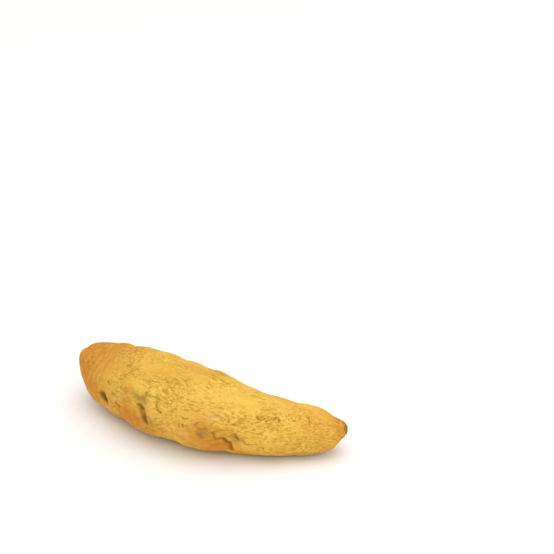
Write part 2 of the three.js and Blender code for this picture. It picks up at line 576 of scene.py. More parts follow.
@dataclass(frozen=True)
class Wrinkles:
    """The dense short wrinkles of dried rind, with the furrows and pores between them."""

    dashes: Wrinkle = Wrinkle(Grain(1.2, 0.4, 4.0), 0.075, 0.7, (0.4, 1.05), (0.65, 1.05))
    threads: Wrinkle = Wrinkle(Grain(0.7, 0.28, 5.0), 0.05, 0.75, (0.3, 1.2), (0.7, 1.1))
    dimples: Wrinkle = Wrinkle(Grain(3.0, 1.6, 8.0), 0.06, 0.12)
    furrows: Wrinkle = Wrinkle(Grain(2.6, 0.8, 6.0), -0.08, 0.45, (0.4, 1.05))
    furrow_width: float = 0.12
    furrow_breaks: Grain = Grain(1.6, 1.1, 7.0)
    pores: Wrinkle = Wrinkle(Grain(2.0, 1.2, 9.0), -0.13, 0.9, (0.3, 1.0))
    pore_width: float = 0.16
    pore_share: float = 0.4
    turned_roughness: float = 0.7

    def draw(self, places: Array, turning: Array, patchy: Array) -> tuple[Array, Array, Array]:
        """Work them out over the skin.

        Args:
            places: the unrolled places.
            turning: how far the grain turns to run round an end, from 0 to 1.
            patchy: how rough the rind is, from 0 to 1.

        Returns:
            The relief; how high in the fine grain each point is, about -0.5 to 0.5; and how deep in a pore or
            furrow it is, from 0 to 1.
        """
        relief, shade, deep = np.zeros((3, *turning.shape))
        rough = np.maximum(patchy, self.turned_roughness * turning)
        for kind, roughness in ((self.dashes, rough), (self.threads, patchy), (self.dimples, patchy)):
            values = kind.grain.turned(places, turning) * blend(kind.strengths, roughness)
            values *= np.where(values > 0, *kind.sides)
            relief += kind.height * values
            shade += kind.ink * values
        lines = bell(self.furrows.grain.turned(places, turning) / self.furrow_width)
        lines *= ramp(self.furrow_breaks.over(places), 0.0, 0.35)
        near, own = self.pores.grain.points(places)
        dots = bell(near / self.pore_width) * (own > 1 - self.pore_share)
        # The deep layer is painted shade in the furrows and pores, partly their own brown.
        for kind, hollows, roughness in ((self.furrows, lines, rough), (self.pores, dots, patchy)):
            values = hollows * blend(kind.strengths, roughness)
            relief += kind.height * values
            deep += kind.ink * values
        return relief, shade, np.clip(deep, 0, 1)


@dataclass
class Rind:
    """The rind's points, ring by ring, and what is drawn on them.

    Each point has its distance and angle, its share of the full thickness, its place on the plain skin, and
    its place on the skin with the larger relief.
    """

    distance: Array
    angle: Array
    shrink: Array
    plain: Array
    skin: Array

    def __post_init__(self) -> None:
        """Start flat and with blank layers."""
        self.places = self.plain
        self.height = np.zeros(self.distance.shape)
        self.tint = {layer: np.zeros(self.distance.shape) for layer in Tint}

    def strengthen(self, tint: Tint, values: Array) -> None:
        """Raise a colour layer to these values where they are higher."""
        self.tint[tint] = np.maximum(self.tint[tint], values)

    def layers(self) -> dict[str, Array]:
        """Each layer that the mesh carries, by its name."""
        return {layer.value: values for layer, values in self.tint.items()} | {"rind_place": self.places}


@dataclass
class FineRind:
    """The small relief and the colour layers of dried rind: wrinkles, creases, stains and torn places."""

    form: FingerForm
    relief: Relief
    creases: tuple[Stroke, ...] = (
        Stroke(((13.8, 357), (14.2, 352), (14.5, 347)), 0.72, -0.5, 1.0),
        Stroke(((14.5, 349), (15.0, 343)), 0.55, -0.3, 0.75),
        Stroke(((18.6, 345), (18.8, 325)), 1.2, -0.35, 0.0),
        Stroke(((12.0, 349), (12.7, 339)), 0.3, -0.15, 0.45),
        Stroke(((19.6, 356), (21.2, 358), (21.7, 351)), 0.22, -0.25, 0.95),
        Stroke(((16.6, 25), (17.3, 21)), 0.22, -0.2, 1.0),
        Stroke(((16.6, 43), (17.2, 47), (18.3, 46)), 0.16, -0.12, 0.4),
        Stroke(((18.5, 8), (19.6, 9)), 0.25, -0.1, 0.5),
        Stroke(((23.7, 17), (24.2, 0)), 0.16, -0.1, 0.35),
        Stroke(((23.0, 9), (23.3, 351)), 0.16, -0.1, 0.35),
        Stroke(((22.4, 1), (22.1, 344)), 0.16, -0.1, 0.3),
        Stroke(((24.9, 355), (25.1, 340)), 0.2, -0.12, 0.45),
        Stroke(((26.0, 11), (26.5, 8), (26.9, 4)), 0.32, -0.35, 1.0),
        Stroke(((26.7, 2), (27.4, 352)), 0.5, -0.3, 0.5),
        Stroke(((27.2, 352), (27.4, 347), (28.1, 343)), 0.44, -0.45, 1.0),
        Stroke(((29.9, 23), (30.2, 14), (31.1, 11)), 0.27, -0.4, 1.0),
        Stroke(((30.2, 22), (30.6, 19)), 0.2, -0.2, 0.7),
        Stroke(((35.7, 14), (36.6, 15)), 0.26, -0.15, 0.8),
        Stroke(((35.7, 26), (36.4, 26)), 0.2, -0.12, 0.5),
        Stroke(((35.3, 5), (35.4, 0)), 0.17, -0.2, 1.0),
        Stroke(((35.9, 5), (36.0, 0)), 0.17, -0.2, 1.0),
        Stroke(((32.7, 32), (32.0, 35), (32.4, 40), (34.7, 45)), 0.2, -0.1, 0.22),
        Stroke(((32.2, 31), (33.4, 36), (34.3, 38)), 0.2, -0.12, 0.3),
        Stroke(((36.4, 116), (37.3, 111)), 0.22, -0.1, 0.85),
        Stroke(((38.0, 115), (38.6, 111), (39.1, 108)), 0.24, -0.12, 0.85),
        Stroke(((39.3, 109), (39.6, 112)), 0.24, -0.08, 0.7),
        Stroke(((34.3, 96), (35.0, 99)), 0.14, -0.08, 0.4),
        Stroke(((35.2, 89), (36.1, 94)), 0.14, -0.1, 0.45),
        Stroke(((35.0, 109), (35.7, 117)), 0.14, -0.06, 0.4),
        Stroke(((42.1, 348), (43.5, 346)), 0.24, -0.3, 0.75),
        Stroke(((43.3, 347), (44.2, 335), (44.8, 324)), 0.55, -0.6, 0.9),
        Stroke(((41.5, 2), (41.6, 351), (41.9, 344)), 0.28, -0.3, 0.85),
        Stroke(((40.5, 1), (41.9, 2)), 0.2, -0.15, 0.6),
        Stroke(((38.7, 350), (39.4, 344)), 0.3, -0.18, 0.55),
        Stroke(((38.6, 359), (40.0, 3)), 0.4, -0.1, 0.4),
        Stroke(((45.3, 3), (45.8, 350)), 0.4, -0.3, 0.95),
        Stroke(((45.5, 342), (45.5, 334)), 0.26, -0.15, 0.5),
        Stroke(((46.9, 353), (47.4, 349)), 0.3, -0.22, 0.75),
        Stroke(((47.8, 345), (49.4, 350)), 0.19, -0.22, 1.0),
        Stroke(((46.2, 10), (47.1, 10)), 0.17, -0.1, 0.5),
        Stroke(((38.9, 27), (39.8, 25)), 0.17, -0.15, 0.7),
        Stroke(((40.5, 32), (41.4, 30)), 0.17, -0.15, 0.6),
        Stroke(((43.5, 31), (43.9, 22)), 0.16, -0.14, 0.7),
        Stroke(((43.0, 32), (43.2, 27)), 0.16, -0.12, 0.5),
        Stroke(((41.9, 22), (42.6, 23), (43.0, 19), (42.2, 18)), 0.13, -0.1, 0.4),
        Stroke(((38.0, 6), (38.6, 13)), 0.3, -0.14, 0.5),
        Stroke(((48.3, 41), (48.9, 39)), 0.19, -0.2, 0.9),
        Stroke(((49.4, 38), (50.1, 42)), 0.2, -0.2, 0.85),
        Stroke(((50.3, 37), (50.9, 41)), 0.19, -0.2, 0.85),
        Stroke(((51.8, 42), (52.2, 48)), 0.23, -0.25, 1.0),
        Stroke(((52.7, 48), (53.1, 42)), 0.22, -0.25, 1.0),
        Stroke(((55.4, 51), (56.0, 54)), 0.18, -0.2, 0.8),
        Stroke(((56.1, 48), (56.8, 49)), 0.18, -0.18, 0.8),
        Stroke(((60.0, 65), (60.1, 57), (60.2, 48)), 0.17, -0.28, 1.0),
        Stroke(((48.3, 4), (49.2, 3)), 0.18, -0.12, 0.5),
        Stroke(((50.8, 345), (51.0, 341)), 0.22, -0.2, 0.9),
        Stroke(((31.1, 338), (31.6, 336)), 0.2, -0.15, 0.5),
        Stroke(((32.3, 24), (33.0, 20), (34.0, 20)), 0.15, -0.1, 0.4),
        Stroke(((31.8, 28), (32.9, 25)), 0.15, -0.1, 0.4),
        Stroke(((33.2, 12), (34.6, 15)), 0.15, -0.1, 0.35),
        Stroke(((65.8, 66), (66.9, 58), (67.8, 40)), 0.26, -0.15, 0.6),
        Stroke(((66.4, 20), (66.7, 350), (66.3, 325)), 0.24, -0.12, 0.4),
    )
    grey_smears: tuple[Stroke, ...] = (
        Stroke(((18.7, 8), (20.3, 10)), 0.4, -0.1, 0.45),
        Stroke(((25.2, 20), (26.0, 19), (26.9, 18)), 0.9, -0.15, 1.0),
        Stroke(((28.6, 356), (29.2, 345)), 0.5, -0.15, 0.7),
    )
    ridges: tuple[Stroke, ...] = (
        Stroke(((26.9, 10), (27.9, 358), (28.8, 345)), 0.22, 0.34, 1.0),
        Stroke(((29.2, 359), (30.4, 353)), 0.6, 0.15, 0.5),
        Stroke(((37.0, 9), (37.7, 13), (38.6, 18)), 0.35, 0.18, 0.6),
        Stroke(((36.3, 351), (37.2, 343)), 0.5, 0.15, 0.6),
        Stroke(((40.3, 23), (41.4, 27)), 0.7, 0.18, 0.9),
        Stroke(((42.6, 25), (42.8, 29)), 0.35, 0.12, 0.5),
        Stroke(((42.4, 357), (43.4, 354)), 0.5, 0.15, 0.4),
        Stroke(((44.5, 348), (45.0, 335), (45.7, 328)), 0.4, 0.1, 0.45),
        Stroke(((46.2, 346), (46.7, 339)), 0.35, 0.14, 0.6),
        Stroke(((39.8, 334), (42.1, 338)), 0.35, 0.08, 0.3),
        Stroke(((65.6, 80), (68.0, 75)), 0.3, 0.12, 0.8),
    )
    torn_places: tuple[Mark, ...] = (
        Mark(42.3, 328, 3.5, 3.8, ink=0.9),
        Mark(46.4, 322, 2.2, 1.1, ink=0.9),
        Mark(28.0, 172, 2.6, 2.2, 20, ink=0.6),
    )
    grey_hollows: tuple[Mark, ...] = (
        Mark(14.6, 353, 0.9, 2.0, 20, ink=0.7),
        Mark(26.9, 3, 1.1, 3.8, 18, ink=0.7),
        Mark(39.2, 353, 1.4, 2.0, 30, ink=0.7),
        Mark(45.6, 355, 1.6, 1.6, -27, ink=0.45),
        Mark(53.0, 225, 1.9, 1.7, ink=0.8),
        Mark(20.0, 205, 1.1, 1.5, ink=0.8),
        Mark(45.0, 150, 1.2, 1.2, ink=0.7),
    )
    orange_places: tuple[Mark, ...] = (
        Mark(23.6, 355, 3.0, 6.2, 14, ink=0.8),
        Mark(40.0, 349, 7.0, 4.6, ink=0.75),
        # These two are partly the rind's own orange and partly painted shade: over the top of the tip, and
        # along the lower front.
        Mark(8.0, 75, 12.0, 7.0, ink=0.8),
        Mark(24.0, 340, 11.0, 4.2, ink=0.95),
        Mark(28.0, 172, 5.5, 5.0, ink=0.6),
        Mark(52.0, 225, 4.5, 4.0, ink=0.5),
        Mark(33.0, 95, 6.0, 2.5, ink=0.35),
    )
    powdery_places: tuple[Mark, ...] = (
        Mark(43.0, 55, 13.0, 7.0, ink=1.0),
        Mark(53.5, 75, 7.0, 4.0, ink=0.9),
    )
    bud_rays: tuple[float, ...] = (10, 85, 150, 220, 300)
    bud_ray: Stroke = Stroke(((0.0, 0.0), (0.5, 18.0)), 0.17, -0.25, 0.85)
    smooth_patch: Mark = Mark(23.4, 355, 2.6, 5.6, 14, ink=0.3)
    # The height of a rough area is what it adds to the roughness of the rind. Below 0 it smooths the rind.
    rough_areas: tuple[Mark, ...] = (
        Mark(32.5, 20, 5.0, 4.5, height=0.8),
        Mark(55.0, 20, 6.5, 3.5, height=0.8),
        Mark(50.5, 84, 7.5, 4.0, height=-0.7),
        Mark(39.5, 55, 6.0, 4.0, height=-0.5),
        Mark(28.0, 70, 6.0, 4.0, height=-0.4),
        Mark(62.0, 45, 5.0, 4.5, height=-0.5),
    )
    rough_patches: Grain = Grain(7.0, 4.5, 10.0)
    wrinkles: Wrinkles = Wrinkles()
    broad_warp: Grain = Grain(6.0, 6.0, 1.0)
    broad_reach: tuple[float, float, float] = (1.6, 1.3, 1.3)
    tight_warp: Grain = Grain(1.7, 1.7, 1.5)
    tight_reach: tuple[float, float, float] = (0.5, 0.4, 0.4)
    # Near the growing tip and the snapped end, the grain turns to run round the finger.
    tip_grain: Span = (10.0, 21.0)
    tip_grain_share: float = 0.7
    end_grain: Span = (-4.5, -1.0)
    torn_calm: float = 0.55
    stain_frays: Grain = Grain(1.3, 0.9, 12.0, 0.35)
    stain_fade: Span = (0.3, 1.15)
    # The underside is painted a little grey and darker: painted shade, where the finger turns under away from
    # the light above.
    underside_painted_shade: float = 0.35
    underside_shade_fade: Span = (0.5, 0.85)
    stroke_frays: Grain = Grain(0.9, 0.7, 15.0, 0.45)
    stroke_warp: Grain = Grain(1.5, 1.5, 17.0, 0.25)
    pale_cover: float = 0.7
    scar_folds: Grain = Grain(1.6, 1.0, 13.0, 0.17)
    scar_grit: Grain = Grain(0.6, 0.5, 14.0, 0.08)
    scar_fade: Span = (0.9, 1.2)
    snap_length: float = 0.95
    snap_frays: Grain = Grain(1.2, 1.2, 20.0, 0.35)
    snap_lumps: Grain = Grain(0.8, 0.8, 21.0, 0.12)
    snap_grit: Grain = Grain(0.4, 0.4, 22.0, 0.06)
    snap_groove: float = 0.08
    snap_line: float = 0.65
    cork_tones: Grain = Grain(0.6, 0.6, 23.0)
    blush_clouds: Grain = Grain(5.0, 5.0, 16.0, 4.0)
    blush_streaks: Grain = Grain(0.5, 2.6, 24.0, 0.6)
    # The orange over the tip is partly painted shade.
    tip_blush: Span = (2.0, 25.0)
    end_blush: Span = (-10.0, -2.0)
    end_blush_share: float = 0.5
    snap_blush_share: float = 0.45
    rubbed_share: float = 0.5

    def bud_star(self) -> tuple[Stroke, ...]:
        """The star of short cracks in the bud scar, which twist to one side and the other by turns."""
        reach, twist = self.bud_ray.path[-1]
        paths = [((0.0, start), (reach, start + twist * (-1) ** i)) for i, start in enumerate(self.bud_rays)]
        return tuple(replace(self.bud_ray, path=path) for path in paths)

    def unroll(self, rind: Rind) -> Array:
        """Unroll the skin, so that grain can run along the finger and swirl round its ends.

        Args:
            rind: the rind.

        Returns:
            For each point, its way along the skin and its place across the finger in millimetres, warped a
            little.
        """
        radius = self.form.sections(rind.distance).half * rind.shrink
        steps = np.hypot(np.diff(rind.distance[:, 0]), np.diff(radius[:, 0]))
        way = np.concatenate([[radius[0, 0]], radius[0, 0] + np.cumsum(steps)])
        lengthwise = np.repeat(way[:, None], radius.shape[1], 1)
        places = np.stack([lengthwise, radius * np.cos(rind.angle), radius * np.sin(rind.angle)], -1)
        broad = self.broad_warp.shift(rind.skin) * self.broad_reach
        return places + broad + self.tight_warp.shift(rind.skin) * self.tight_reach

    def stain(self, rind: Rind) -> None:
        """Lay the frayed stains, and the painted shade on the underside.

        Args:
            rind: the rind to colour.
        """
        stains = {Tint.FLESH: self.torn_places, Tint.ASH: self.grey_hollows}
        stains |= {Tint.BLUSH: self.orange_places, Tint.FILM: self.powdery_places}
        frays = self.stain_frays.over(rind.places)
        for tint, marks in stains.items():
            for mark in marks:
                reach = Patch(self.form, mark).reach(rind.plain)[0] + frays
                rind.strengthen(tint, mark.ink * (1 - ramp(reach, *self.stain_fade)))
        # Painted shade: the underside is greyed and darkened towards where the finger lies.
        rind.strengthen(Tint.ASH, self.underside_painted_shade * ramp(-np.sin(rind.angle), *self.underside_shade_fade))

    def wrinkle(self, rind: Rind) -> None:
        """Wrinkle the rind, less where it is smooth or torn.

        Args:
            rind: the rind to wrinkle.
        """
        patchy = ramp(self.rough_patches.over(rind.places), -0.35, 0.3)
        for mark in self.rough_areas:
            patchy += mark.height * Patch(self.form, mark).bump(rind.plain)
        patchy = np.clip(patchy, 0, 1)
        near_tip = self.tip_grain_share * (1 - ramp(rind.places[..., 0], *self.tip_grain))
        near_end = ramp(rind.distance - self.form.length, *self.end_grain)
        relief, shade, deep = self.wrinkles.draw(rind.places, np.maximum(near_tip, near_end), patchy)
        smooth = self.smooth_patch.ink * Patch(self.form, self.smooth_patch).bump(rind.plain)
        calm = 1 - np.maximum(smooth, self.torn_calm * rind.tint[Tint.FLESH])
        rind.height += relief * calm
        # Painted shade, partly the cork's brown: the furrows and pores are darkened in colour.
        rind.tint[Tint.DEEP] = deep * calm
        # Painted highlight and painted shade, partly real: the grain layer makes the raised wrinkles paler
        # and the low ones darker in colour.
        rind.tint[Tint.GRAIN] = np.clip(0.5 + shade * calm, 0, 1)
        rind.tint[Tint.ROUGH] = blend((0.25, 1.0), patchy)

    def stroke_share(self, stroke: Stroke, plain: Array, frays: Array) -> Array:
        """How strongly a stroke marks each point of the skin.

        Args:
            stroke: the stroke.
            plain: the points of the plain skin.
            frays: the share of the stroke's width at each point, which makes its edges uneven.

        Returns:
            1 in the middle of the stroke, falling off to its sides.
        """
        at, degrees = np.array(stroke.path).T
        ends = self.form.skin(at, np.radians(degrees), self.form.tip.share(at))
        path = curve(ends, np.linspace(0, 1, 4 * len(ends) - 6))
        middle = path.mean(0)
        extent = np.linalg.norm(path - middle, axis=1).max() + 4 * stroke.half_width
        near = np.linalg.norm(plain - middle, axis=-1) < extent
        points = plain[near]
        away = np.full(len(points), np.inf)
        for start, end in zip(path[:-1], path[1:]):
            run = end - start
            share = np.clip((points - start) @ run / (run @ run), 0, 1)
            away = np.minimum(away, np.linalg.norm(points - start - share[:, None] * run, axis=1))
        strength = np.zeros(plain.shape[:-1])
        strength[near] = bell(away / (stroke.half_width * frays[near]))
        return strength

    def draw_strokes(self, rind: Rind) -> None:
        """Draw the creases, the bud's star, the grey smears and the pale ridges.

        Args:
            rind: the rind to draw on.
        """
        frays = 1 + self.stroke_frays.over(rind.places)
        wandering = rind.plain + self.stroke_warp.shift(rind.skin)
        creases = self.creases + self.bud_star()
        # Each crease is darkened in colour as painted shade, partly the cork's own brown.
        for tint, strokes in ((Tint.DEEP, creases), (Tint.ASH, self.grey_smears), (Tint.PALE, self.ridges)):
            for stroke in strokes:
                share = self.stroke_share(stroke, wandering, frays)
                rind.height += stroke.height * share
                rind.strengthen(tint, stroke.ink * share)
        # Where a pale ridge runs beside a crease, it lifts the crease's painted shade.
        rind.tint[Tint.DEEP] *= 1 - self.pale_cover * rind.tint[Tint.PALE]

    def tear_scars(self, rind: Rind) -> None:
        """Roughen the floors of the shoot scars.

        Args:
            rind: the rind to roughen.
        """
        rough = self.scar_folds.over(rind.places) + self.scar_grit.over(rind.places)
        for mark in self.relief.scars:
            reach, _ = self.relief.ragged(Patch(self.form, mark), rind.plain)
            rind.height += rough * (1 - ramp(reach, *self.scar_fade))

    def dress_ends(self, rind: Rind) -> None:
        """Roughen the snapped face's cork, and let orange show at both ends and in the stains; over the tip
        it is partly painted shade.

        Args:
            rind: the rind to change.
        """
        from_end = rind.distance - self.form.length
        from_snap = from_end + self.snap_length + self.snap_frays.over(rind.skin)
        torn = ramp(from_snap, -0.3, 0.3)
        rind.height += torn * (self.snap_lumps.over(rind.skin) + self.snap_grit.over(rind.skin))
        rind.height -= self.snap_groove * bell((from_snap - 0.1) / 0.25)
        rind.tint[Tint.CORK] = torn * blend((0.7, 1.0), ramp(self.cork_tones.over(rind.skin), -0.3, 0.3))
        # Painted shade, partly real: a dark line in the groove round the snapped face.
        rind.strengthen(Tint.DEEP, self.snap_line * bell((from_snap - 0.1) / 0.3))
        clouds = self.blush_clouds.over(rind.skin)
        # Painted shade, partly the rind's own orange: the tip is oranger and darker, and more so on top.
        tip = 1 - ramp(rind.distance + clouds - 2.0 * np.sin(rind.angle), *self.tip_blush)
        end = self.end_blush_share * ramp(from_end + clouds, *self.end_blush)
        end += self.snap_blush_share * bell((from_snap + 1.0) / 0.9)
        rubbed = 1 - self.rubbed_share * ramp(rind.tint[Tint.GRAIN], 0.45, 0.95)
        streaks = 0.95 + self.blush_streaks.over(rind.places)
        rind.tint[Tint.BLUSH] = rubbed * streaks * np.maximum.reduce([rind.tint[Tint.BLUSH], tip, end])

    def draw(self, rind: Rind) -> None:
        """Draw the small relief and the colour layers.

        Args:
            rind: the bare rind.
        """
        rind.places = self.unroll(rind)
        self.stain(rind)
        self.wrinkle(rind)
        self.draw_strokes(rind)
        self.tear_scars(rind)
        self.dress_ends(rind)


@dataclass
class FingerSkin:
    """The finger's fine skin: one closed mesh of rings between two poles, with its colour layers."""

    form: FingerForm
    relief: Relief
    rind: FineRind
    tip_rings: int = 66
    body_rings: int = 218
    end_rings: int = 42
    points_round: int = 300

    def ring_list(self) -> tuple[Array, Array]:
        """All the rings from the growing tip to the snapped end.

        Returns:
            Each ring's distance from the growing tip, and its share of the full thickness.
        """
        form = self.form
        near, near_share = form.tip.rings(self.tip_rings)
        far, far_share = form.snapped.rings(self.end_rings)
        run = form.length - form.tip.length - form.snapped.length
        body = form.tip.length + run * np.arange(1, self.body_rings + 1) / (self.body_rings + 1)
        distance = np.concatenate([near, body, form.length - far[::-1]])
        return distance, np.concatenate([near_share, np.ones(self.body_rings), far_share[::-1]])

    @staticmethod
    def normals(grid: Array, poles: tuple[Array, Array]) -> Array:
        """Outward normals of a ringed skin.

        Args:
            grid: the skin's points, ring by ring.
            poles: the points at its two ends.

        Returns:
            A unit normal for each point.
        """
        count = grid.shape[1]
        ends = [np.repeat(p[None, None], count, 1) for p in poles]
        padded = np.concatenate([ends[0], grid, ends[1]])
        lengthwise = padded[2:] - padded[:-2]
        roundwise = np.roll(grid, -1, 1) - np.roll(grid, 1, 1)
        return unit(np.cross(lengthwise, roundwise))

    def points(self) -> tuple[Array, Array, dict[str, Array]]:
        """Work out the skin's points, poles and colour layers.

        Returns:
            The grid of points, the two poles, and the layers on the grid.
        """
        form = self.form
        rings, shares = self.ring_list()
        turns = 2 * math.pi * np.arange(self.points_round) / self.points_round
        distance, angle = np.meshgrid(rings, turns, indexing="ij")
        shrink = np.repeat(shares[:, None], self.points_round, 1)
        plain = form.skin(distance, angle, shrink)
        ends = form.sections(np.array([0.0, form.length]))
        poles = (ends.centre[0], ends.centre[1])
        normal = self.normals(plain, poles)
        raised = plain + normal * self.relief.height(plain, distance, angle)[..., None]
        raised = self.snap(raised)
        box_low, box_high = raised.reshape(-1, 3).min(0), raised.reshape(-1, 3).max(0)
        new_poles = (raised[0].mean(0), raised[-1].mean(0))
        drawn = Rind(distance, angle, shrink, plain, raised)
        self.rind.draw(drawn)
        fine = raised + self.normals(raised, new_poles) * drawn.height[..., None]
        low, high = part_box(NODE)
        target = np.array([(low[0] + high[0]) / 2, (low[1] + high[1]) / 2, low[2]]) / MM
        table = box_low[2] + form.resting_depth
        shift = target - np.array([(box_low[0] + box_high[0]) / 2, (box_low[1] + box_high[1]) / 2, table])
        fine = fine + shift
        fine[..., 2] = np.maximum(fine[..., 2], target[2])
        return fine * MM, np.array([fine[0].mean(0), fine[-1].mean(0)]) * MM, drawn.layers()

    def snap(self, points: Array) -> Array:
        """Press what lies beyond the snapped face onto it.

        Args:
            points: the skin's points.

        Returns:
            The points with the face cut.
        """
        form = self.form
        cut = form.sections(np.array([form.length]))
        out, top = cut.along[0], cut.top[0]
        lean = math.radians(form.snapped_lean)
        normal = out * math.cos(lean) + np.cross(top, out) * math.sin(lean)
        face = cut.centre[0] - out * form.snapped_inset
        beyond = np.maximum((points - face) @ normal, 0.0)
        return points - beyond[..., None] * normal

    def build(self) -> bpy.types.Object:
        """Make the mesh.

        Returns:
            The finger's object.
        """
        grid, poles, layers = self.points()
        rings, count = grid.shape[:2]
        body = grid.reshape(-1, 3)
        points = np.concatenate([poles[:1], body, poles[1:]])
        index = 1 + np.arange(rings * count).reshape(rings, count)
        ahead = np.roll(index, -1, 1)
        quads = np.stack([index[:-1], index[1:], ahead[1:], ahead[:-1]], -1).reshape(-1, 4)
        last = len(points) - 1
        caps = [(0, int(a), int(b)) for a, b in zip(index[0], ahead[0])]
        caps += [(last, int(b), int(a)) for a, b in zip(index[-1], ahead[-1])]
        mesh = bpy.data.meshes.new("turmeric_finger")
        mesh.from_pydata(points.tolist(), [], quads.tolist() + caps)
        mesh.update()
        for name, layer in layers.items():
            values = layer.reshape(rings * count, -1)
            full = np.concatenate([values[:count].mean(0)[None], values, values[-count:].mean(0)[None]])
            kind, key = ("FLOAT", "value") if full.shape[1] == 1 else ("FLOAT_VECTOR", "vector")
            attribute = mesh.attributes.new(name, kind, "POINT")
            attribute.data.foreach_set(key, full.astype(np.float32).ravel())
        mesh.shade_smooth()
        finger = bpy.data.objects.new("turmeric_finger", mesh)
        bpy.context.scene.collection.objects.link(finger)
        return finger


def add_node(
    tree: bpy.types.NodeTree, kind: str, links: dict[str | int, object] | None = None, **settings: object
) -> bpy.types.Node:
    """Add a node to a tree with its settings and links.

    Args:
        tree: the node tree.
        kind: the node's type.
        links: for each input, the output socket to link or the value to set.
        **settings: the node's own properties.

    Returns:
        The node.
    """
    node = tree.nodes.new(kind)
    for name, value in settings.items():
        setattr(node, name, value)
    for name, value in (links or {}).items():
        socket = node.inputs[name]
        if isinstance(value, bpy.types.NodeSocket):
            tree.links.new(value, socket)
        else:
            socket.default_value = value
    return node


